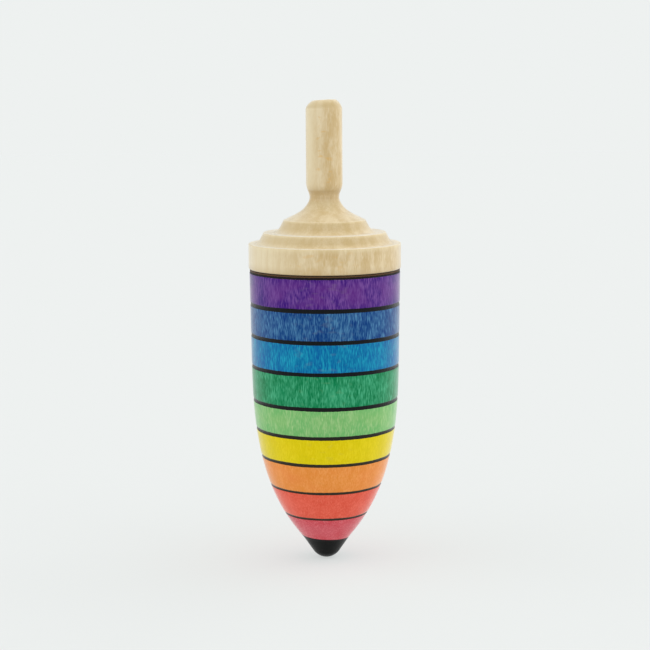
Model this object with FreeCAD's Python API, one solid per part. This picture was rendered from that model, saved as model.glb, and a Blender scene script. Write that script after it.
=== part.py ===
import FreeCAD, Part
import math
import os

# Turned wooden finger top, built as four glued pieces: tip, body, cap and grip stem.
# Millimetres. +Z is up along the spin axis, and the origin is the point of the tip.

os.makedirs("parts", exist_ok=True)

# ---- heights of the joints between the pieces, from the point of the tip ----
TIP_TOP_Z = 4.13
BODY_TOP_Z = 58.6
NECK_TOP_Z = 73.8
TOTAL_HEIGHT = 91.5

# ---- tip: rounded nose running into a cone, with a shank in the body ----
TIP_NOSE_RADIUS = 3.2
TIP_CONE_HALF_ANGLE = 33.5
TIP_SHANK_RADIUS = 1.5
TIP_SHANK_LENGTH = 8.0

# ---- body: long pointed barrel, widest under the cap; (radius, height) up its side ----
BODY_SIDE = [
    (4.50, TIP_TOP_Z),
    (7.39, 8.0),
    (10.97, 15.0),
    (13.20, 23.0),
    (14.25, 31.0),
    (14.60, 40.0),
    (14.74, 50.0),
    (14.88, BODY_TOP_Z),
]

# ---- lines scorched round the body, wider towards the cap: (height of its middle, width) ----
SCORCHED_LINES = [
    (9.64, 0.50),
    (15.47, 0.52),
    (21.38, 0.64),
    (26.93, 0.71),
    (32.70, 0.76),
    (39.46, 0.76),
    (45.60, 0.78),
    (51.70, 0.82),
]
LINE_DEPTH = 0.1

# ---- cap: three steps and a neck; each wall slants up from a ledge, out of a rounded cove ----
CAP_RADIUS = 15.03
CAP_EDGE_ROUND = 0.2
STEP_1_TOP_Z = 63.5
STEP_2_FOOT_RADIUS = 13.15
STEP_2_EDGE_RADIUS = 12.12
STEP_2_COVE_REACH = 0.9
STEP_2_TOP_Z = 65.65
STEP_3_FOOT_RADIUS = 9.3
STEP_3_EDGE_RADIUS = 8.12
STEP_3_COVE_REACH = 1.2
STEP_3_TOP_Z = 68.1
NECK_WAIST_RADIUS = 2.9
NECK_WAIST_Z = 72.4
NECK_TOP_RADIUS = 3.24
NECK_FLARE = [(6.4, 68.84), (4.45, 69.98), (3.36, 71.2)]
SPIGOT_RADIUS = 6.0
SPIGOT_LENGTH = 8.0

# ---- grip stem: round bar with a rounded shoulder, a bevelled end and a tenon ----
STEM_RADIUS = 3.58
STEM_SHOULDER_RADIUS = 3.24
STEM_SHOULDER_HEIGHT = 1.4
STEM_SHOULDER_SAG = 0.06
STEM_BEVEL_WIDTH = 1.4
STEM_BEVEL_HEIGHT = 1.8
STEM_BEVEL_SAG = 0.25
TENON_RADIUS = 2.0
TENON_LENGTH = 10.0

# ---- glued joints: room for glue round each tenon and under its end ----
GLUE_GAP = 0.05
GLUE_POCKET = 0.5


def at(radius, height):
    """A point of a turned outline, which lies in the XZ plane."""
    return FreeCAD.Vector(radius, 0, height)


def line(start, end):
    return Part.LineSegment(at(*start), at(*end)).toShape()


def arc(start, middle, end):
    return Part.Arc(at(*start), at(*middle), at(*end)).toShape()


def smooth(points):
    curve = Part.BSplineCurve()
    curve.interpolate([at(*point) for point in points])
    return curve.toShape()


def bowed(start, end, sag):
    """An arc between two points that bows towards the axis by sag."""
    run = end[0] - start[0]
    rise = end[1] - start[1]
    length = math.hypot(run, rise)
    middle_radius = (start[0] + end[0]) / 2 - sag * rise / length
    middle_height = (start[1] + end[1]) / 2 + sag * run / length
    return arc(start, (middle_radius, middle_height), end)


def turned(edges):
    """The solid that an outline makes when it turns once round the axis."""
    face = Part.Face(Part.Wire(edges))
    return face.revolve(FreeCAD.Vector(0, 0, 0), FreeCAD.Vector(0, 0, 1), 360)


def bore(radius, floor_z, height):
    return Part.makeCylinder(radius, height, FreeCAD.Vector(0, 0, floor_z))


def write(shape, node):
    shape = shape.removeSplitter()
    assert shape.isValid() and len(shape.Solids) == 1, node
    shape.Solids[0].exportStep(f"parts/{node}.step")


def make_tip():
    slope = math.radians(TIP_CONE_HALF_ANGLE)
    nose_end = math.pi / 2 - slope
    half_way = nose_end / 2
    nose = TIP_NOSE_RADIUS
    nose_middle = (nose * math.sin(half_way), nose * (1 - math.cos(half_way)))
    cone_foot = (nose * math.sin(nose_end), nose * (1 - math.cos(nose_end)))
    shank_top = TIP_TOP_Z + TIP_SHANK_LENGTH
    cone_top = (BODY_SIDE[0][0], TIP_TOP_Z)
    return turned([
        arc((0, 0), nose_middle, cone_foot),
        line(cone_foot, cone_top),
        line(cone_top, (TIP_SHANK_RADIUS, TIP_TOP_Z)),
        line((TIP_SHANK_RADIUS, TIP_TOP_Z), (TIP_SHANK_RADIUS, shank_top)),
        line((TIP_SHANK_RADIUS, shank_top), (0, shank_top)),
        line((0, shank_top), (0, 0)),
    ])


def body_radius(height):
    """Radius of the body's side at a height."""
    side = smooth(BODY_SIDE)
    level = line((0, height), (CAP_RADIUS, height))
    return side.distToShape(level)[1][0][0].x


def scorched_line(height, width):
    """A ring that cuts a shallow V round the body, square to the axis."""
    floor = body_radius(height) - LINE_DEPTH
    low = height - width / 2
    high = height + width / 2
    corners = [
        (floor, height),
        (body_radius(low), low),
        (CAP_RADIUS, low),
        (CAP_RADIUS, high),
        (body_radius(high), high),
    ]
    ends = corners[1:] + corners[:1]
    return turned([line(start, end) for start, end in zip(corners, ends)])


def make_body():
    blank = turned([
        smooth(BODY_SIDE),
        line(BODY_SIDE[-1], (0, BODY_TOP_Z)),
        line((0, BODY_TOP_Z), (0, TIP_TOP_Z)),
        line((0, TIP_TOP_Z), BODY_SIDE[0]),
    ])
    socket_floor = BODY_TOP_Z - SPIGOT_LENGTH - GLUE_POCKET
    socket = bore(SPIGOT_RADIUS + GLUE_GAP, socket_floor, SPIGOT_LENGTH + GLUE_POCKET)
    shank_bore = bore(TIP_SHANK_RADIUS + GLUE_GAP, TIP_TOP_Z, TIP_SHANK_LENGTH + GLUE_POCKET)
    lines = [scorched_line(height, width) for height, width in SCORCHED_LINES]
    return blank.cut([socket, shank_bore] + lines)


def edge_round(edge_radius, top_z):
    """The quarter round where a step's wall meets the ledge above it."""
    start = (edge_radius, top_z - CAP_EDGE_ROUND)
    inset = CAP_EDGE_ROUND * (1 - math.cos(math.pi / 4))
    middle = (edge_radius - inset, top_z - inset)
    end = (edge_radius - CAP_EDGE_ROUND, top_z)
    return start, middle, end


def cove(foot, edge, reach):
    """The arc that rounds the corner where a ledge meets the wall that rises from foot to edge.
    It leaves the ledge and joins the wall at the distance reach from the corner."""
    lean = math.atan2(edge[1] - foot[1], edge[0] - foot[0])
    inset = reach / math.cos(lean / 2) - reach * math.tan(lean / 2)
    start = (foot[0] + reach, foot[1])
    middle = (foot[0] + inset * math.cos(lean / 2), foot[1] + inset * math.sin(lean / 2))
    end = (foot[0] + reach * math.cos(lean), foot[1] + reach * math.sin(lean))
    return start, middle, end


def make_cap():
    spigot_end = BODY_TOP_Z - SPIGOT_LENGTH
    round_1 = edge_round(CAP_RADIUS, STEP_1_TOP_Z)
    round_2 = edge_round(STEP_2_EDGE_RADIUS, STEP_2_TOP_Z)
    round_3 = edge_round(STEP_3_EDGE_RADIUS, STEP_3_TOP_Z)
    cove_2 = cove((STEP_2_FOOT_RADIUS, STEP_1_TOP_Z), round_2[0], STEP_2_COVE_REACH)
    cove_3 = cove((STEP_3_FOOT_RADIUS, STEP_2_TOP_Z), round_3[0], STEP_3_COVE_REACH)
    waist = (NECK_WAIST_RADIUS, NECK_WAIST_Z)
    neck_top = (NECK_TOP_RADIUS, NECK_TOP_Z)
    blank = turned([
        line((0, spigot_end), (SPIGOT_RADIUS, spigot_end)),
        line((SPIGOT_RADIUS, spigot_end), (SPIGOT_RADIUS, BODY_TOP_Z)),
        line((SPIGOT_RADIUS, BODY_TOP_Z), (CAP_RADIUS, BODY_TOP_Z)),
        line((CAP_RADIUS, BODY_TOP_Z), round_1[0]),
        arc(*round_1),
        line(round_1[-1], cove_2[0]),
        arc(*cove_2),
        line(cove_2[-1], round_2[0]),
        arc(*round_2),
        line(round_2[-1], cove_3[0]),
        arc(*cove_3),
        line(cove_3[-1], round_3[0]),
        arc(*round_3),
        smooth([round_3[-1], *NECK_FLARE, waist, neck_top]),
        line(neck_top, (0, NECK_TOP_Z)),
        line((0, NECK_TOP_Z), (0, spigot_end)),
    ])
    mortise_depth = TENON_LENGTH + GLUE_POCKET
    mortise = bore(TENON_RADIUS + GLUE_GAP, NECK_TOP_Z - mortise_depth, mortise_depth)
    return blank.cut(mortise)


def make_grip_stem():
    tenon_end = NECK_TOP_Z - TENON_LENGTH
    shoulder_foot = (STEM_SHOULDER_RADIUS, NECK_TOP_Z)
    shoulder_top = (STEM_RADIUS, NECK_TOP_Z + STEM_SHOULDER_HEIGHT)
    bevel_foot = (STEM_RADIUS, TOTAL_HEIGHT - STEM_BEVEL_HEIGHT)
    bevel_top = (STEM_RADIUS - STEM_BEVEL_WIDTH, TOTAL_HEIGHT)
    return turned([
        line((0, tenon_end), (TENON_RADIUS, tenon_end)),
        line((TENON_RADIUS, tenon_end), (TENON_RADIUS, NECK_TOP_Z)),
        line((TENON_RADIUS, NECK_TOP_Z), shoulder_foot),
        bowed(shoulder_foot, shoulder_top, -STEM_SHOULDER_SAG),
        line(shoulder_top, bevel_foot),
        bowed(bevel_foot, bevel_top, -STEM_BEVEL_SAG),
        line(bevel_top, (0, TOTAL_HEIGHT)),
        line((0, TOTAL_HEIGHT), (0, tenon_end)),
    ])


write(make_tip(), "tip")
write(make_body(), "body")
write(make_cap(), "cap")
write(make_grip_stem(), "grip_stem")
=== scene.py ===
import math

import bpy
import numpy as np
from mathutils import Matrix, Vector, noise


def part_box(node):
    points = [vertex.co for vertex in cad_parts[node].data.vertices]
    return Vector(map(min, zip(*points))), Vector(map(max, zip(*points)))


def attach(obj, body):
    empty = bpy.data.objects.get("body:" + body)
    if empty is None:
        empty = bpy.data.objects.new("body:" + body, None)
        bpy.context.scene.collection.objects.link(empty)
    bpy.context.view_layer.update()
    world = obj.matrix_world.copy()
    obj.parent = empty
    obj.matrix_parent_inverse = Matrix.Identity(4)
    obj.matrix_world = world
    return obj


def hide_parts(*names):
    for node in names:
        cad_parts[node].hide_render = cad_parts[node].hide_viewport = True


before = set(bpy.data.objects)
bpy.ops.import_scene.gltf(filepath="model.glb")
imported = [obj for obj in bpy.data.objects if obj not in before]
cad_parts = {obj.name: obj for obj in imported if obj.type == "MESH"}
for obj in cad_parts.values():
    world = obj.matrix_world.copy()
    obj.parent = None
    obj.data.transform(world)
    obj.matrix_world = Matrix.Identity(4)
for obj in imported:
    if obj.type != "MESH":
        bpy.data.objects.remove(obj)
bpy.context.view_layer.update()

# A turned wooden finger top: black tip, maple body in nine stained bands with scorched lines
# between them, stepped cap of bare maple and a round stem. Sizes are in millimetres here and
# become metres in the meshes. Heights are measured from the point of the tip.

MM = 0.001
# the one rigid body of the top, which every piece rides on
BODY = "root"


def cad_corner(node, corner):
    """The lowest (0) or highest (1) corner of a CAD node, in millimetres."""
    return Vector(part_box(node)[corner]) / MM


# ---- heights and radii that the CAD model settles ----
TIP_TOP = cad_corner("body", 0).z
BODY_TOP = cad_corner("body", 1).z
NECK_TOP = cad_corner("cap", 1).z
STEM_TOP = cad_corner("grip_stem", 1).z
CAP_RADIUS = cad_corner("cap", 1).y
STEM_RADIUS = cad_corner("grip_stem", 1).x
SPIGOT_END = cad_corner("cap", 0).z
TENON_END = cad_corner("grip_stem", 0).z
SHANK_TOP = cad_corner("tip", 1).z

# ---- the body's side: (radius, height) from the tip to the cap ----
BODY_SIDE = [
    (4.50, TIP_TOP),
    (7.39, 8.0),
    (10.97, 15.0),
    (13.20, 23.0),
    (14.25, 31.0),
    (14.60, 40.0),
    (14.74, 50.0),
    (14.88, BODY_TOP),
]
BODY_WALL = 1.6

# ---- scorched lines, from the lowest up: (height of its middle, width) ----
SCORCHED_LINES = [
    (9.64, 0.50),
    (15.47, 0.52),
    (21.38, 0.64),
    (26.93, 0.71),
    (32.70, 0.76),
    (39.46, 0.76),
    (45.60, 0.78),
    (51.70, 0.82),
]
LINE_DEPTH = 0.09
LINE_LIP = 0.02
LIP_HEIGHT = 0.1
LIGHT_SCORCH_TOP = 20.0
FULL_SCORCH_FOOT = 34.0

# ---- the line under the cap: a groove with a bead in it, placed as a share of the line's width ----
CAP_LINE_FOOT = 57.75
CAP_LINE_LIP = 0.05
CAP_LINE_DIP = 0.07
BEAD_RISE = 0.05
BEAD_PLACE = 0.62
BEAD_SPREAD = 0.1

# ---- edges of the lines wander: how far, and how many waves to a body's radius ----
FINE_JAG = 0.035
FINE_WAVES = 26
FINE_SEED_STEP = 7.3
BROAD_JAG = 0.05
BROAD_WAVES = 2.6
BROAD_SEED_STEP = 3.1
BROAD_SEED = 50

# ---- the black of the tip runs a little way up the body, higher on one side ----
BLACK_TOP = 4.67
BLACK_TILT = 0.057
BLACK_JAG_SHARE = 0.25

# ---- bands of stain, from the lowest up ----
BANDS = ["pink", "coral", "orange", "yellow", "light_green", "dark_green", "azure", "dark_blue", "violet"]

# ---- cap: each step's wall slants up from the ledge below it, out of a rounded cove ----
RIM_TUCK = 0.12
RIM_TUCK_HEIGHT = 0.25
RIM_TUCK_SAG = 0.03
STEP_1_TOP = 63.5
STEP_2_FOOT = 13.15
STEP_2_EDGE = 12.12
STEP_2_TOP = 65.65
STEP_2_COVE = 0.9
STEP_3_FOOT = 9.3
STEP_3_EDGE = 8.12
STEP_3_TOP = 68.1
STEP_3_COVE = 1.2
EDGE_ROUND = 0.2
NECK_FLARE = [(6.4, 68.84), (4.45, 69.98), (3.36, 71.2), (2.9, 72.4)]
NECK_TOP_RADIUS = 3.24
SPIGOT_RADIUS = 6.0
MORTISE_RADIUS = 2.05
MORTISE_FLOOR = TENON_END - 0.5

# ---- stem ----
TENON_RADIUS = 2.0
SHOULDER_RADIUS = 3.24
SHOULDER_HEIGHT = 1.4
SHOULDER_SAG = 0.06
BEVEL_WIDTH = 1.4
BEVEL_HEIGHT = 1.8
BEVEL_SAG = 0.25
END_SLANT = 0.06
SLANT_START_X = 0.9

# ---- tip ----
NOSE_RADIUS = 3.2
CONE_HALF_ANGLE = math.radians(33.5)
SHANK_RADIUS = 1.5

# ---- how far wear and a painted highlight spread from worn edges, and painted shade from the corners and joints ----
# the worn edges below are lightened partly for wear and partly as a painted highlight
STEP_1_WEAR_HIGHLIGHT = 0.9
STEP_2_WEAR_HIGHLIGHT = 0.45
STEP_3_WEAR_HIGHLIGHT = 0.35
STEM_END_WEAR_HIGHLIGHT = 0.35
# reach of the painted shade under the cap's rim, at the neck's top and waist, and at the stem's shoulder
RIM_SHADE = 1.4
NECK_TOP_SHADE = 1.6
NECK_WAIST_SHADE = 0.9
SHOULDER_SHADE = 0.3

# ---- how finely the surfaces are divided ----
ROUND_STEPS = 360
SIDE_STEPS = 24
BAND_STEPS = 13
LINE_STEPS = 6
BLACK_FOOT_STEPS = 3
CAP_LINE_STEPS = 12
NOSE_STEPS = 24
CONE_STEPS = 12
RIM_TUCK_STEPS = 4
RIM_STEPS = 14
EDGE_STEPS = 4
COVE_STEPS = 10
LOW_LEDGE_STEPS = 4
HIGH_LEDGE_STEPS = 5
WALL_STEPS = 6
NECK_STEPS = 9
SHOULDER_STEPS = 8
BAR_STEPS = 24
BEVEL_STEPS = 12
STEM_END_STEPS = 5
SHARP_ANGLE = math.radians(38)


# ---------------------------------------------------------------- outlines

def spline(points, steps):
    """A smooth curve through points, with steps short runs between each two."""
    knots = np.array(points, float)
    chords = np.hypot(*np.diff(knots, axis=0).T)
    count = len(knots)
    system = np.eye(count)
    bends = np.zeros((count, 2))
    for i in range(1, count - 1):
        before, after = chords[i - 1], chords[i]
        system[i, i - 1:i + 2] = before, 2 * (before + after), after
        bends[i] = 6 * ((knots[i + 1] - knots[i]) / after - (knots[i] - knots[i - 1]) / before)
    bends = np.linalg.solve(system, bends)
    curve = []
    for i, chord in enumerate(chords):
        for far in np.arange(steps) / steps:
            near = 1 - far
            sway = (near ** 3 - near) * bends[i] + (far ** 3 - far) * bends[i + 1]
            curve.append(near * knots[i] + far * knots[i + 1] + sway * chord ** 2 / 6)
    curve.append(knots[-1])
    return [tuple(point) for point in curve]


def bowed(start, end, sag, steps):
    """Points from start to end on a shallow curve that bows towards the axis by sag."""
    start = np.array(start, float)
    along = np.array(end, float) - start
    aside = np.array([-along[1], along[0]]) / np.hypot(*along)
    parts = np.linspace(0, 1, steps + 1)
    return [tuple(start + along * part + aside * sag * 4 * part * (1 - part)) for part in parts]


def corner(radius, height):
    """The quarter round at the outer, upper corner of a step."""
    centre_radius = radius - EDGE_ROUND
    centre_height = height - EDGE_ROUND
    turns = np.linspace(0, math.pi / 2, EDGE_STEPS + 1)
    return [(centre_radius + EDGE_ROUND * math.cos(turn), centre_height + EDGE_ROUND * math.sin(turn))
            for turn in turns]


def cove(foot, edge, reach):
    """The arc from a ledge, at the distance reach from foot, into the wall that rises to edge."""
    lean = math.atan2(edge[1] - foot[1], edge[0] - foot[0])
    round_radius = reach * math.tan(lean / 2)
    centre_radius = foot[0] + reach
    centre_height = foot[1] + round_radius
    turns = np.linspace(0, math.pi - lean, COVE_STEPS + 1)
    return [(centre_radius - round_radius * math.sin(turn), centre_height - round_radius * math.cos(turn))
            for turn in turns]


def straight(start, end, steps):
    """Points between start and end, both left out."""
    parts = np.linspace(0, 1, steps + 1)[1:-1]
    return [tuple(np.array(start) * (1 - part) + np.array(end) * part) for part in parts]


SIDE_CURVE = np.array(spline(BODY_SIDE, SIDE_STEPS))


def side_radius(height):
    return np.interp(height, SIDE_CURVE[:, 1], SIDE_CURVE[:, 0])


# ---------------------------------------------------------------- meshes

def finish_mesh(name, points, faces, marks=None):
    """A smooth-shaded object from points in millimetres, with a value a point for each kind of mark."""
    mesh = bpy.data.meshes.new(name)
    mesh.from_pydata([Vector(point) * MM for point in points], [], faces)
    mesh.validate()
    for kind, values in (marks or {}).items():
        layer = mesh.attributes.new(kind, "FLOAT", "POINT")
        layer.data.foreach_set("value", values)
    mesh.shade_smooth()
    mesh.set_sharp_from_angle(angle=SHARP_ANGLE)
    piece = bpy.data.objects.new(name, mesh)
    bpy.context.scene.collection.objects.link(piece)
    return piece


def nearness(point, spots):
    """From 0, out of reach of every (radius, height, reach) spot, to 1, on one."""
    return max([0.0] + [1 - math.dist(point, spot[:2]) / spot[2] for spot in spots])


def lathe(name, outline, worn_and_lit=(), shade_spots=()):
    """Turns an outline of (radius, height) points, which starts and ends on the axis, once round."""
    points, faces, rings, wear_and_highlight, painted_shade = [], [], [], [], []
    for radius, height in outline:
        first = len(points)
        if radius == 0:
            points.append((0, 0, height))
            rings.append([first] * ROUND_STEPS)
        else:
            for step in range(ROUND_STEPS):
                turn = 2 * math.pi * step / ROUND_STEPS
                points.append((radius * math.cos(turn), radius * math.sin(turn), height))
            rings.append(list(range(first, first + ROUND_STEPS)))
        # the first mark is partly wear and partly a painted highlight near the given edges
        wear_and_highlight += [nearness((radius, height), worn_and_lit)] * (len(points) - first)
        # the second mark is painted shade, strongest on the spots that are given for it
        painted_shade += [nearness((radius, height), shade_spots)] * (len(points) - first)
    for low, high in zip(rings, rings[1:]):
        for step in range(ROUND_STEPS):
            after = (step + 1) % ROUND_STEPS
            face = [low[step], low[after], high[after], high[step]]
            face = [point for place, point in enumerate(face) if point != face[place - 1]]
            faces.append(face)
    return finish_mesh(name, points, faces, {"edge_wear_and_highlight": wear_and_highlight, "corner_shade": painted_shade})


def line_edges():
    """Heights of all edges between black and stain, from the lowest up."""
    edges = [TIP_TOP, BLACK_TOP]
    for height, width in SCORCHED_LINES:
        edges += [height - width / 2, height + width / 2]
    return edges + [CAP_LINE_FOOT, BODY_TOP]


EDGES = line_edges()


def jag(edge, turn):
    """How far the ragged edge of a scorched line wanders at a place round the body."""
    place = Vector((math.cos(turn), math.sin(turn), 0))
    fine = noise.noise(place * FINE_WAVES + Vector((0, 0, edge * FINE_SEED_STEP)))
    broad = noise.noise(place * BROAD_WAVES + Vector((0, 0, edge * BROAD_SEED_STEP + BROAD_SEED)))
    return FINE_JAG * fine + BROAD_JAG * broad


def edge_height(edge, turn):
    """The lowest and highest edges of the body are true, the next is tilted, and the rest wander."""
    if edge in (0, len(EDGES) - 1):
        return EDGES[edge]
    if edge == 1:
        tilted = BLACK_TOP - BLACK_TILT * BODY_SIDE[0][0] * math.cos(turn)
        return tilted + jag(edge, turn) * BLACK_JAG_SHARE
    return EDGES[edge] + jag(edge, turn)


def side_ring(edge, shares, depths):
    """Points and faces of one ring of the body, from an edge to the next, closed on its inner side.
    shares says where its rows lie between the edges, and depths how far below the body's side."""
    points, faces = [], []
    rows = len(shares) + 2
    for step in range(ROUND_STEPS):
        turn = 2 * math.pi * step / ROUND_STEPS
        low = edge_height(edge, turn)
        high = edge_height(edge + 1, turn)
        heights = [low + (high - low) * share for share in shares]
        radii = [side_radius(height) - depth for height, depth in zip(heights, depths)]
        heights += [high, low]
        radii += [side_radius(high) - BODY_WALL, side_radius(low) - BODY_WALL]
        for radius, height in zip(radii, heights):
            points.append((radius * math.cos(turn), radius * math.sin(turn), height))
    for step in range(ROUND_STEPS):
        here = step * rows
        after = (step + 1) % ROUND_STEPS * rows
        for row in range(rows):
            up = (row + 1) % rows
            faces.append([here + row, after + row, after + up, here + up])
    return points, faces


def build_band(index):
    """A band of stain, with its edges eased into the lines, except where it meets the black foot."""
    edge = 2 * index + 1
    lip = LIP_HEIGHT / (EDGES[edge + 1] - EDGES[edge])
    between = list(np.linspace(lip, 1 - lip, BAND_STEPS + 1)[1:-1])
    shares = [0, lip / 2, lip] + between + [1 - lip, 1 - lip / 2, 1]
    eased = [LINE_LIP, LINE_LIP / 4]
    level = [0.0, 0.0]
    at_foot = level if index == 0 else eased
    depths = at_foot + [0.0] * (len(shares) - 4) + eased[::-1]
    return finish_mesh("body_band_" + BANDS[index], *side_ring(edge, shares, depths))


def build_lines():
    """All the lines between two bands, as one piece of separate rings."""
    shares = np.linspace(0, 1, LINE_STEPS + 1)
    depths = [LINE_LIP + (LINE_DEPTH - LINE_LIP) * math.sin(math.pi * share) for share in shares]
    points, faces = [], []
    for index in range(len(SCORCHED_LINES)):
        ring_points, ring_faces = side_ring(2 * index + 2, shares, depths)
        faces += [[corner_index + len(points) for corner_index in face] for face in ring_faces]
        points += ring_points
    return finish_mesh("body_scorched_lines", points, faces)


def build_black_foot():
    """The lowest ring of the body, as black as the tip below it."""
    shares = np.linspace(0, 1, BLACK_FOOT_STEPS + 1)
    return finish_mesh("body_black_foot", *side_ring(0, shares, [0.0] * len(shares)))


def build_cap_line():
    """The line under the cap: a scorched groove with a bead left standing in it."""
    shares = np.linspace(0, 1, CAP_LINE_STEPS + 1)
    depths = []
    for share in shares:
        groove = CAP_LINE_LIP + CAP_LINE_DIP * math.sin(math.pi * share)
        bead = BEAD_RISE * math.exp(-((share - BEAD_PLACE) / BEAD_SPREAD) ** 2)
        depths.append(groove - bead)
    return finish_mesh("body_cap_line", *side_ring(len(EDGES) - 2, shares, depths))


def build_tip():
    turns = np.linspace(0, math.pi / 2 - CONE_HALF_ANGLE, NOSE_STEPS + 1)
    nose = [(NOSE_RADIUS * math.sin(turn), NOSE_RADIUS * (1 - math.cos(turn))) for turn in turns]
    cone_top = (BODY_SIDE[0][0], TIP_TOP)
    outline = nose + straight(nose[-1], cone_top, CONE_STEPS) + [cone_top, (SHANK_RADIUS, TIP_TOP)]
    outline += [(SHANK_RADIUS, SHANK_TOP), (0, SHANK_TOP)]
    return lathe("tip_nub", outline)


def build_cap():
    edge_1 = corner(CAP_RADIUS, STEP_1_TOP)
    edge_2 = corner(STEP_2_EDGE, STEP_2_TOP)
    edge_3 = corner(STEP_3_EDGE, STEP_3_TOP)
    cove_2 = cove((STEP_2_FOOT, STEP_1_TOP), edge_2[0], STEP_2_COVE)
    cove_3 = cove((STEP_3_FOOT, STEP_2_TOP), edge_3[0], STEP_3_COVE)
    neck_top = (NECK_TOP_RADIUS, NECK_TOP)
    rim_foot = (CAP_RADIUS - RIM_TUCK, BODY_TOP)
    rim = bowed(rim_foot, (CAP_RADIUS, BODY_TOP + RIM_TUCK_HEIGHT), -RIM_TUCK_SAG, RIM_TUCK_STEPS)
    outline = [(0, SPIGOT_END), (SPIGOT_RADIUS, SPIGOT_END), (SPIGOT_RADIUS, BODY_TOP)]
    outline += rim + straight(rim[-1], edge_1[0], RIM_STEPS) + edge_1
    outline += straight(edge_1[-1], cove_2[0], LOW_LEDGE_STEPS) + cove_2
    outline += straight(cove_2[-1], edge_2[0], WALL_STEPS) + edge_2
    outline += straight(edge_2[-1], cove_3[0], HIGH_LEDGE_STEPS) + cove_3
    outline += straight(cove_3[-1], edge_3[0], WALL_STEPS) + edge_3
    outline += spline([edge_3[-1], *NECK_FLARE, neck_top], NECK_STEPS)[1:]
    outline += [(MORTISE_RADIUS, NECK_TOP), (MORTISE_RADIUS, MORTISE_FLOOR), (0, MORTISE_FLOOR)]
    # the steps' edges are lightened partly for wear and partly as a painted highlight
    worn_and_lit = [(*edge_1[2], STEP_1_WEAR_HIGHLIGHT), (*edge_2[2], STEP_2_WEAR_HIGHLIGHT), (*edge_3[2], STEP_3_WEAR_HIGHLIGHT)]
    # painted shade under the rim, at the neck's top and at its waist
    shade_spots = [(*rim_foot, RIM_SHADE), (*neck_top, NECK_TOP_SHADE), (*NECK_FLARE[-1], NECK_WAIST_SHADE)]
    return lathe("cap_turned", outline, worn_and_lit, shade_spots)


def build_stem():
    shoulder_foot = (SHOULDER_RADIUS, NECK_TOP)
    shoulder_top = (STEM_RADIUS, NECK_TOP + SHOULDER_HEIGHT)
    bevel_foot = (STEM_RADIUS, STEM_TOP - BEVEL_HEIGHT)
    bevel_top = (STEM_RADIUS - BEVEL_WIDTH, STEM_TOP)
    outline = [(0, TENON_END), (TENON_RADIUS, TENON_END), (TENON_RADIUS, NECK_TOP)]
    outline += bowed(shoulder_foot, shoulder_top, -SHOULDER_SAG, SHOULDER_STEPS)
    outline += straight(shoulder_top, bevel_foot, BAR_STEPS)
    outline += bowed(bevel_foot, bevel_top, -BEVEL_SAG, BEVEL_STEPS)
    outline += straight(bevel_top, (0, STEM_TOP), STEM_END_STEPS) + [(0, STEM_TOP)]
    # the end's edge is lightened partly for wear and partly as a painted highlight
    worn_and_lit = [(*bevel_top, STEM_END_WEAR_HIGHLIGHT)]
    # painted shade at the foot of the shoulder
    shade_spots = [(*shoulder_foot, SHOULDER_SHADE)]
    stem = lathe("stem_bar", outline, worn_and_lit, shade_spots)
    slant_end(stem)
    return stem


def slant_end(stem):
    """The stem was cut off a little out of square: its end falls away to one side."""
    start = (STEM_TOP - BEVEL_HEIGHT) * MM
    for vertex in stem.data.vertices:
        above = max(0.0, (vertex.co.z - start) / (BEVEL_HEIGHT * MM))
        vertex.co.z -= END_SLANT * above * (SLANT_START_X * MM - vertex.co.x)
        vertex.co.z = min(vertex.co.z, STEM_TOP * MM)


# ---------------------------------------------------------------- shader nodes

def node(tree, kind, inputs=None, **settings):
    """A shader node with its settings, and its inputs set to values or linked to sockets."""
    made = tree.nodes.new("ShaderNode" + kind)
    for key, value in settings.items():
        setattr(made, key, value)
    for key, value in (inputs or {}).items():
        if isinstance(value, bpy.types.NodeSocket):
            tree.links.new(value, made.inputs[key])
        else:
            made.inputs[key].default_value = value
    return made


def place_in_mm(tree):
    here = node(tree, "TexCoord").outputs["Object"]
    return node(tree, "VectorMath", {0: here, "Scale": 1 / MM}, operation="SCALE").outputs[0]


def part_of(tree, vector, axis):
    return node(tree, "SeparateXYZ", {0: vector}).outputs[axis]


def facing(tree, axis):
    """How far the surface faces along an axis, either way, from 0 to 1."""
    return maths(tree, "ABSOLUTE", part_of(tree, node(tree, "TexCoord").outputs["Normal"], axis))


def speckle(tree, place, size, detail=1.0, rough=0.5):
    """Noise whose spots are about size millimetres along X, Y and Z."""
    spots_a_mm = [1 / length for length in size]
    scaled = node(tree, "VectorMath", {0: place, 1: spots_a_mm}, operation="MULTIPLY").outputs[0]
    spots = node(tree, "TexNoise", {"Vector": scaled, "Scale": 1.0, "Detail": detail, "Roughness": rough})
    return spots.outputs["Fac"]


def remap(tree, value, low, high, to_low=0.0, to_high=1.0):
    mapped = node(tree, "MapRange", {"Value": value, "From Min": low, "From Max": high,
                                     "To Min": to_low, "To Max": to_high})
    return mapped.outputs["Result"]


def maths(tree, operation, first, second=0.0):
    return node(tree, "Math", {0: first, 1: second}, operation=operation).outputs[0]


def add_up(tree, *terms):
    """The sum of sockets, each times a number."""
    total = 0.0
    for socket, times in terms:
        total = node(tree, "Math", {0: socket, 1: times, 2: total}, operation="MULTIPLY_ADD").outputs[0]
    return total


def blend(tree, share, under, over):
    """over laid on under by share, which is a number or a socket."""
    return node(tree, "Mix", {"Factor": share, "A": under, "B": over}, data_type="RGBA").outputs["Result"]


def blend_by(tree, share, strength, under, over):
    """over laid on under by a socket times a strength."""
    return blend(tree, maths(tree, "MULTIPLY", share, strength), under, over)


# ---------------------------------------------------------------- figure of the maple

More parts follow.
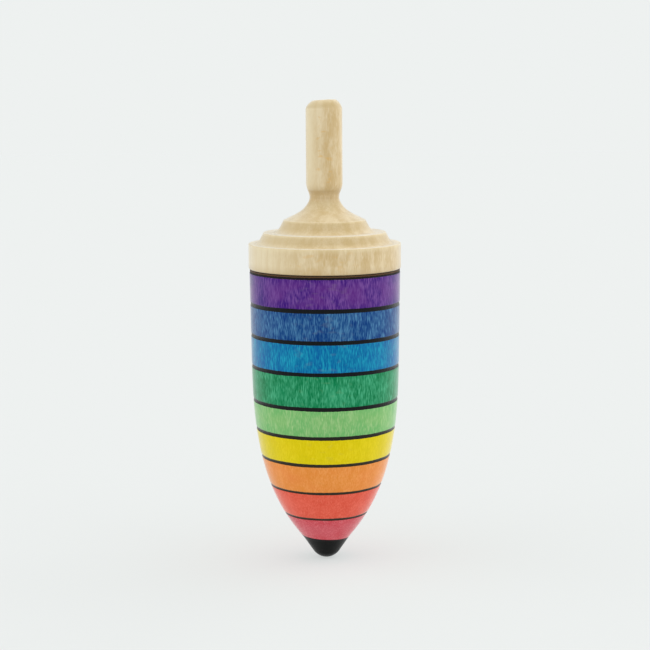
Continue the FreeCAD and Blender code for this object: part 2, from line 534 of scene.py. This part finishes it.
# ---- sizes of its spots along X, Y and Z, in millimetres ----
CLOUD_SIZE = (1.9, 1.9, 5.0)
PORE_SIZE = (0.21, 0.21, 1.3)
FIBRE_SIZE = (0.15, 0.15, 0.9)
RAY_SIZE = (2.2, 0.5, 0.8)
TOOL_MARK_SIZE = (30, 30, 0.32)

# ---- growth rings about a pith that lies outside the top ----
TO_PITH = (62, -14, 0)
RING_WIDTH = 1.7
RING_WANDER = 3.2
RING_WANDER_SIZE = (9, 9, 60)
LATE_WOOD_FOOT = 0.15
LATE_WOOD_TOP = 0.88

# ---- what each adds to the height of the surface, next to the fibres ----
FLECK_DEPTH = 0.6
TOOL_MARK_RISE = 0.8


def ray_flecks(tree, place):
    """Rays of the wood run along X, and show as flecks where the surface lies along them."""
    rays = remap(tree, speckle(tree, place, RAY_SIZE, rough=0.4), 0.60, 0.70)
    return maths(tree, "MULTIPLY", rays, remap(tree, facing(tree, "Y"), 0.86, 0.99))


def growth_rings(tree, place):
    """From 0 in a ring's early wood up to 1 in its late wood, with a quick fall to the next ring."""
    from_pith = node(tree, "VectorMath", {0: place, 1: TO_PITH}, operation="ADD").outputs[0]
    flat = node(tree, "VectorMath", {0: from_pith, 1: (1, 1, 0)}, operation="MULTIPLY").outputs[0]
    reach = node(tree, "VectorMath", {0: flat}, operation="LENGTH").outputs["Value"]
    wander = maths(tree, "MULTIPLY", speckle(tree, place, RING_WANDER_SIZE), RING_WANDER)
    ring_part = maths(tree, "FRACT", maths(tree, "ADD", maths(tree, "DIVIDE", reach, RING_WIDTH), wander))
    rise = maths(tree, "POWER", remap(tree, ring_part, LATE_WOOD_FOOT, LATE_WOOD_TOP), 2.0)
    return maths(tree, "MINIMUM", rise, remap(tree, ring_part, LATE_WOOD_TOP, 1.0, 1.0, 0.0))


def maple_group():
    """The figure of maple in the solid wood, with its grain along Z. Each output runs from 0 to 1,
    but for Height, which is the height of the surface for a bump."""
    group = bpy.data.node_groups.new("maple_figure", "ShaderNodeTree")
    place = place_in_mm(group)
    clouds = remap(group, speckle(group, place, CLOUD_SIZE, 3.0, 0.6), 0.35, 0.65)
    pores = speckle(group, place, PORE_SIZE)
    fibres = remap(group, speckle(group, place, FIBRE_SIZE), 0.38, 0.62)
    flecks = ray_flecks(group, place)
    tool_marks = speckle(group, place, TOOL_MARK_SIZE)
    figure = {
        "Streaks": remap(group, add_up(group, (pores, 1.0), (clouds, 0.10)), 0.50, 0.76),
        "Fibres": fibres,
        "Flecks": flecks,
        "Clouds": clouds,
        "Rings": growth_rings(group, place),
        "Height": add_up(group, (fibres, 1.0), (flecks, -FLECK_DEPTH), (tool_marks, TOOL_MARK_RISE)),
    }
    for name in figure:
        group.interface.new_socket(name, in_out="OUTPUT", socket_type="NodeSocketFloat")
    out = group.nodes.new("NodeGroupOutput")
    for name, socket in figure.items():
        group.links.new(socket, out.inputs[name])
    return group


MAPLE = maple_group()


# ---------------------------------------------------------------- materials

SHEEN_ROUGHNESS = 0.34

# ---- roughness of each surface, from its smoothest to its roughest spots ----
BARE_ROUGHNESS = (0.42, 0.56)
STAINED_ROUGHNESS = (0.40, 0.54)
SCORCHED_ROUGHNESS = (0.45, 0.6)
TIP_ROUGHNESS = (0.38, 0.52)

# ---- heights of the bumps, in millimetres ----
BARE_BUMP = 0.010
STAINED_BUMP = 0.008
SCORCHED_BUMP = 0.012
TIP_BUMP = 0.008

# ---- bare maple: its tones, and how strongly each shows ----
DEEP_MAPLE = (0.612, 0.442, 0.220, 1)
PALE_MAPLE = (0.770, 0.622, 0.402, 1)
BARK_TONE = (0.780, 0.665, 0.455, 1)
RING_TONE = (0.600, 0.420, 0.200, 1)
FLECK_TONE = (0.680, 0.400, 0.110, 1)
# slanted walls: partly cut grain, partly painted shade
CUT_AND_SHADE_TONE = (0.500, 0.370, 0.180, 1)
# worn edges: partly wear, partly a painted highlight
WORN_HIGHLIGHT_TONE = (0.86, 0.73, 0.47, 1)
# painted shade for the corners and joints
SHADE_TONE = (0.48, 0.33, 0.16, 1)
BARK_SHARE = 0.75
RING_SHARE = 0.2
# how far walls darken, partly for cut grain and partly as painted shade, and how much of that level
# ledges keep, so they read lighter as painted light
CUT_AND_SHADE_SHARE = 0.48
LIT_LEDGE_SHARE = 0.5
WORN_HIGHLIGHT_SHARE = 0.35
SHADE_SHARE = 0.45

# ---- stained maple ----
PATCH_SIZE = (5.0, 5.0, 3.6)
PATCH_SHARE_BY_LINES = 0.3
STAINED_FLECK_SHARE = 0.06
STAINED_FLECK = (0.40, 0.36, 0.18, 1)

# ---- stains: full colour, colour where the wood took less, and the hue it drifts to ----
STAINS = {
    "pink": ((0.610, 0.056, 0.075), (0.760, 0.165, 0.195), (0.620, 0.088, 0.112)),
    "coral": ((0.745, 0.090, 0.050), (0.880, 0.160, 0.102), (0.790, 0.112, 0.066)),
    "orange": ((0.795, 0.262, 0.043), (0.905, 0.345, 0.092), (0.815, 0.250, 0.052)),
    "yellow": ((0.705, 0.575, 0.000), (0.820, 0.655, 0.010), (0.735, 0.565, 0.000)),
    "light_green": ((0.155, 0.455, 0.140), (0.345, 0.580, 0.240), (0.210, 0.480, 0.153)),
    "dark_green": ((0.000, 0.182, 0.060), (0.068, 0.425, 0.220), (0.002, 0.212, 0.077)),
    "azure": ((0.000, 0.113, 0.342), (0.010, 0.325, 0.500), (0.000, 0.140, 0.340)),
    "dark_blue": ((0.000, 0.037, 0.190), (0.075, 0.225, 0.420), (0.001, 0.050, 0.202)),
    "violet": ((0.040, 0.004, 0.176), (0.180, 0.070, 0.310), (0.108, 0.022, 0.212)),
}

# ---- scorched lines and the dyed tip ----
CHAR = (0.0022, 0.0040, 0.0055, 1)
ASH = (0.012, 0.013, 0.014, 1)
ASH_SHARE = 0.35
LIGHT_SCORCH = (0.030, 0.024, 0.013, 1)
DYED_BLACK = (0.0018, 0.0021, 0.0021, 1)
RUBBED_BLACK = (0.010, 0.010, 0.009, 1)
RUBBED_SHARE = 0.4

# ---- the line under the cap: (share of its width, colour), from its foot up ----
CAP_LINE_TONES = [
    (0.0, (0.009, 0.006, 0.007)),
    (0.40, (0.010, 0.006, 0.006)),
    (0.52, (0.110, 0.056, 0.023)),
    (0.70, (0.092, 0.047, 0.020)),
    # the darkest tones at the top are partly scorch and partly painted shade under the cap's overhang
    (0.82, (0.012, 0.007, 0.004)),
    (1.0, (0.024, 0.014, 0.009)),
]
CAP_LINE_RAGGED = 0.04


def start_material(name, specular, sheen):
    """A new material, its node tree, its shader and the outputs of the maple's figure in it."""
    material = bpy.data.materials.new(name)
    material.use_nodes = True
    tree = material.node_tree
    shader = tree.nodes["Principled BSDF"]
    shader.inputs["Specular IOR Level"].default_value = specular
    shader.inputs["Sheen Weight"].default_value = sheen
    shader.inputs["Sheen Roughness"].default_value = SHEEN_ROUGHNESS
    figure = tree.nodes.new("ShaderNodeGroup")
    figure.node_tree = MAPLE
    return material, tree, shader, figure.outputs


def finish_material(tree, shader, figure, tone, follows, roughness, bump_height):
    """Gives the shader its colour, a bump, and a roughness that follows one output of the figure
    between the two values of roughness."""
    tree.links.new(tone, shader.inputs["Base Color"])
    rough = remap(tree, figure[follows], 0.0, 1.0, *roughness)
    tree.links.new(rough, shader.inputs["Roughness"])
    bump = node(tree, "Bump", {"Height": figure["Height"], "Distance": bump_height * MM})
    tree.links.new(bump.outputs["Normal"], shader.inputs["Normal"])


def bare_maple(name, pale_from, pale_to, fleck_share):
    """Maple as turned. The wood grows paler towards the bark, which lies along -X, between the
    places pale_from and pale_to. It is darkest on slanted walls, partly where the tool cuts across the
    grain and partly as painted shade, and level ledges keep more of their tone as painted light. Its worn
    edges are lighter, partly from wear and partly as a painted highlight, and painted shade darkens its
    corners and joints."""
    material, tree, shader, figure = start_material(name, specular=0.2, sheen=1.0)
    paleness = add_up(tree, (figure["Streaks"], 0.28), (figure["Fibres"], 0.15), (figure["Clouds"], 0.57))
    tone = blend(tree, remap(tree, paleness, 0.10, 0.76), DEEP_MAPLE, PALE_MAPLE)
    to_bark = remap(tree, part_of(tree, place_in_mm(tree), "X"), pale_from, pale_to)
    tone = blend_by(tree, to_bark, BARK_SHARE, tone, BARK_TONE)
    tone = blend_by(tree, figure["Rings"], RING_SHARE, tone, RING_TONE)
    tone = blend_by(tree, figure["Flecks"], fleck_share, tone, FLECK_TONE)
    # slanted walls darker, partly for cut grain and partly as painted shade; level ledges keep only part
    # of it and read lighter as painted light
    slope = facing(tree, "Z")
    slanted = remap(tree, slope, 0.15, 0.45, 0.0, CUT_AND_SHADE_SHARE)
    not_level = remap(tree, slope, 0.50, 0.90, 1.0, LIT_LEDGE_SHARE)
    tone = blend(tree, maths(tree, "MULTIPLY", slanted, not_level), tone, CUT_AND_SHADE_TONE)
    # edges lightened partly for wear and partly as a painted highlight
    worn_and_lit = node(tree, "Attribute", attribute_name="edge_wear_and_highlight").outputs["Fac"]
    tone = blend_by(tree, worn_and_lit, WORN_HIGHLIGHT_SHARE, tone, WORN_HIGHLIGHT_TONE)
    # painted shade darkens the corners and joints
    painted_shade = node(tree, "Attribute", attribute_name="corner_shade").outputs["Fac"]
    tone = blend_by(tree, painted_shade, SHADE_SHARE, tone, SHADE_TONE)
    finish_material(tree, shader, figure, tone, "Fibres", BARE_ROUGHNESS, BARE_BUMP)
    return material


def stained_maple(name, full, thin, drift, low, high):
    """Maple under a stain: full is its full colour, thin is where the wood took less of it, and drift
    is the neighbouring hue that it goes to in places. The band runs from low to high, and the stain
    is fuller beside its lines."""
    material, tree, shader, figure = start_material(name, specular=0.05, sheen=0.8)
    place = place_in_mm(tree)
    share = remap(tree, part_of(tree, place, "Z"), low, high)
    share_left = maths(tree, "SUBTRACT", 1.0, share)
    middle = maths(tree, "MULTIPLY", maths(tree, "MULTIPLY", share, share_left), 4.0)
    patches = remap(tree, speckle(tree, place, PATCH_SIZE), 0.38, 0.62)
    patch_share = remap(tree, middle, 0.0, 1.0, PATCH_SHARE_BY_LINES, 1.0)
    base = blend(tree, maths(tree, "MULTIPLY", patches, patch_share), (*full, 1), (*drift, 1))
    taken = add_up(tree, (figure["Streaks"], 0.75), (figure["Fibres"], 0.35), (figure["Clouds"], 0.2),
                   (middle, 0.1), (figure["Rings"], -0.1))
    tone = blend(tree, remap(tree, taken, 0.18, 1.18), base, (*thin, 1))
    tone = blend_by(tree, figure["Flecks"], STAINED_FLECK_SHARE, tone, STAINED_FLECK)
    finish_material(tree, shader, figure, tone, "Fibres", STAINED_ROUGHNESS, STAINED_BUMP)
    return material


def scorched(name):
    """Charred black, scorched more lightly on the lines nearest the tip."""
    material, tree, shader, figure = start_material(name, specular=0.10, sheen=0.5)
    tone = blend_by(tree, figure["Streaks"], ASH_SHARE, CHAR, ASH)
    height = part_of(tree, place_in_mm(tree), "Z")
    lightness = remap(tree, height, LIGHT_SCORCH_TOP, FULL_SCORCH_FOOT, 1.0, 0.0)
    tone = blend(tree, lightness, tone, LIGHT_SCORCH)
    finish_material(tree, shader, figure, tone, "Clouds", SCORCHED_ROUGHNESS, SCORCHED_BUMP)
    return material


def cap_line_scorch_and_shade(name):
    """Charred black at the foot, brown on the bead, and dark brown under the cap, which is partly scorch
    and partly painted shade under the cap's overhang.
    """
    material, tree, shader, figure = start_material(name, specular=0.10, sheen=0.0)
    height = part_of(tree, place_in_mm(tree), "Z")
    wander = remap(tree, figure["Streaks"], 0.0, 1.0, -CAP_LINE_RAGGED, CAP_LINE_RAGGED)
    share = remap(tree, maths(tree, "ADD", height, wander), CAP_LINE_FOOT, BODY_TOP)
    ramp = node(tree, "ValToRGB", {"Fac": share})
    while len(ramp.color_ramp.elements) < len(CAP_LINE_TONES):
        ramp.color_ramp.elements.new(0.5)
    for element, (position, colour) in zip(ramp.color_ramp.elements, CAP_LINE_TONES):
        element.position = position
        element.color = (*colour, 1)
    tone = ramp.outputs["Color"]
    finish_material(tree, shader, figure, tone, "Clouds", SCORCHED_ROUGHNESS, SCORCHED_BUMP)
    return material


def black_tip(name):
    material, tree, shader, figure = start_material(name, specular=0.08, sheen=0.25)
    tone = blend_by(tree, figure["Streaks"], RUBBED_SHARE, DYED_BLACK, RUBBED_BLACK)
    finish_material(tree, shader, figure, tone, "Clouds", TIP_ROUGHNESS, TIP_BUMP)
    return material


def wear_material(piece, material, node_name):
    piece.data.materials.append(material)
    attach(piece, BODY)
    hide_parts(node_name)


# ---------------------------------------------------------------- the top

def make_top():
    for index, band in enumerate(BANDS):
        low = EDGES[2 * index + 1]
        high = EDGES[2 * index + 2]
        material = stained_maple("stain_" + band, *STAINS[band], low, high)
        wear_material(build_band(index), material, "body")
    wear_material(build_lines(), scorched("scorched_black"), "body")
    wear_material(build_cap_line(), cap_line_scorch_and_shade("scorched_brown_and_shade"), "body")
    cap_wood = bare_maple("maple_of_cap", pale_from=-1.0, pale_to=-12.0, fleck_share=0.25)
    wear_material(build_cap(), cap_wood, "cap")
    stem_wood = bare_maple("maple_of_stem", pale_from=0.4, pale_to=-2.6, fleck_share=0.5)
    wear_material(build_stem(), stem_wood, "grip_stem")
    black = black_tip("tip_black_wood")
    wear_material(build_black_foot(), black, "body")
    wear_material(build_tip(), black, "tip")


# ---------------------------------------------------------------- studio

PALE = (0.855, 0.880, 0.871)
FLOOR_SIZE = 4.0
FLOOR_GLOW = 0.6

# ---- lights: (degrees right of the camera, elevation in degrees, strength) ----
LIGHTS = [(-84, 38, 0.60), (80, 34, 0.55), (128, 26, 0.90), (0, 78, 0.25)]
LIGHT_SPREAD = math.radians(58)


def make_floor():
    """Paper that shines by its own glow and by what it reflects, together as much as the backdrop."""
    half = FLOOR_SIZE / 2
    corners = [(-half, -half, 0), (half, -half, 0), (half, half, 0), (-half, half, 0)]
    mesh = bpy.data.meshes.new("floor")
    mesh.from_pydata(corners, [], [[0, 1, 2, 3]])
    floor = bpy.data.objects.new("floor", mesh)
    bpy.context.scene.collection.objects.link(floor)
    material = bpy.data.materials.new("floor_paper")
    material.use_nodes = True
    shader = material.node_tree.nodes["Principled BSDF"]
    lamplight = sum(strength * math.sin(math.radians(elevation)) for _, elevation, strength in LIGHTS)
    paper = (1 - FLOOR_GLOW) / (1 + lamplight / math.pi)
    shader.inputs["Base Color"].default_value = (paper, paper, paper, 1)
    shader.inputs["Roughness"].default_value = 1.0
    shader.inputs["Specular IOR Level"].default_value = 0.0
    shader.inputs["Emission Color"].default_value = (*PALE, 1)
    shader.inputs["Emission Strength"].default_value = FLOOR_GLOW
    mesh.materials.append(material)


def make_light(azimuth, elevation, strength):
    """A broad, soft light from far off."""
    lamp = bpy.data.lights.new("softbox", "SUN")
    lamp.energy = strength
    lamp.color = PALE
    lamp.angle = LIGHT_SPREAD
    light = bpy.data.objects.new("softbox", lamp)
    around = math.radians(azimuth)
    up = math.radians(elevation)
    towards = Vector((math.sin(around) * math.cos(up), -math.cos(around) * math.cos(up), math.sin(up)))
    light.rotation_euler = towards.to_track_quat("Z", "Y").to_euler()
    bpy.context.scene.collection.objects.link(light)


def make_studio():
    world = bpy.data.worlds.new("studio")
    world.use_nodes = True
    world.node_tree.nodes["Background"].inputs["Color"].default_value = (*PALE, 1)
    bpy.context.scene.world = world
    bpy.context.scene.view_settings.view_transform = "Standard"
    make_floor()
    for light in LIGHTS:
        make_light(*light)


# ---- camera: its place in millimetres from the point of the tip, its tilt and its lens ----
CAMERA_DISTANCE = 341.97
CAMERA_HEIGHT = 94.91
CAMERA_ASIDE = -0.035
CAMERA_DOWN = math.radians(7.954)
CAMERA_ROLL = math.radians(0.351)
CAMERA_LENS = 96.45
CAMERA_SENSOR = 36.0
CAMERA_NEAREST = 0.01


def make_camera():
    data = bpy.data.cameras.new("camera")
    data.sensor_width = CAMERA_SENSOR
    data.lens = CAMERA_LENS
    data.clip_start = CAMERA_NEAREST
    camera = bpy.data.objects.new("camera", data)
    bpy.context.scene.collection.objects.link(camera)
    stand = Matrix.Translation(Vector((CAMERA_ASIDE, -CAMERA_DISTANCE, CAMERA_HEIGHT)) * MM)
    tilt = Matrix.Rotation(math.pi / 2 - CAMERA_DOWN, 4, "X")
    camera.matrix_world = stand @ tilt @ Matrix.Rotation(-CAMERA_ROLL, 4, "Z")
    bpy.context.scene.camera = camera


make_camera()
make_studio()
make_top()
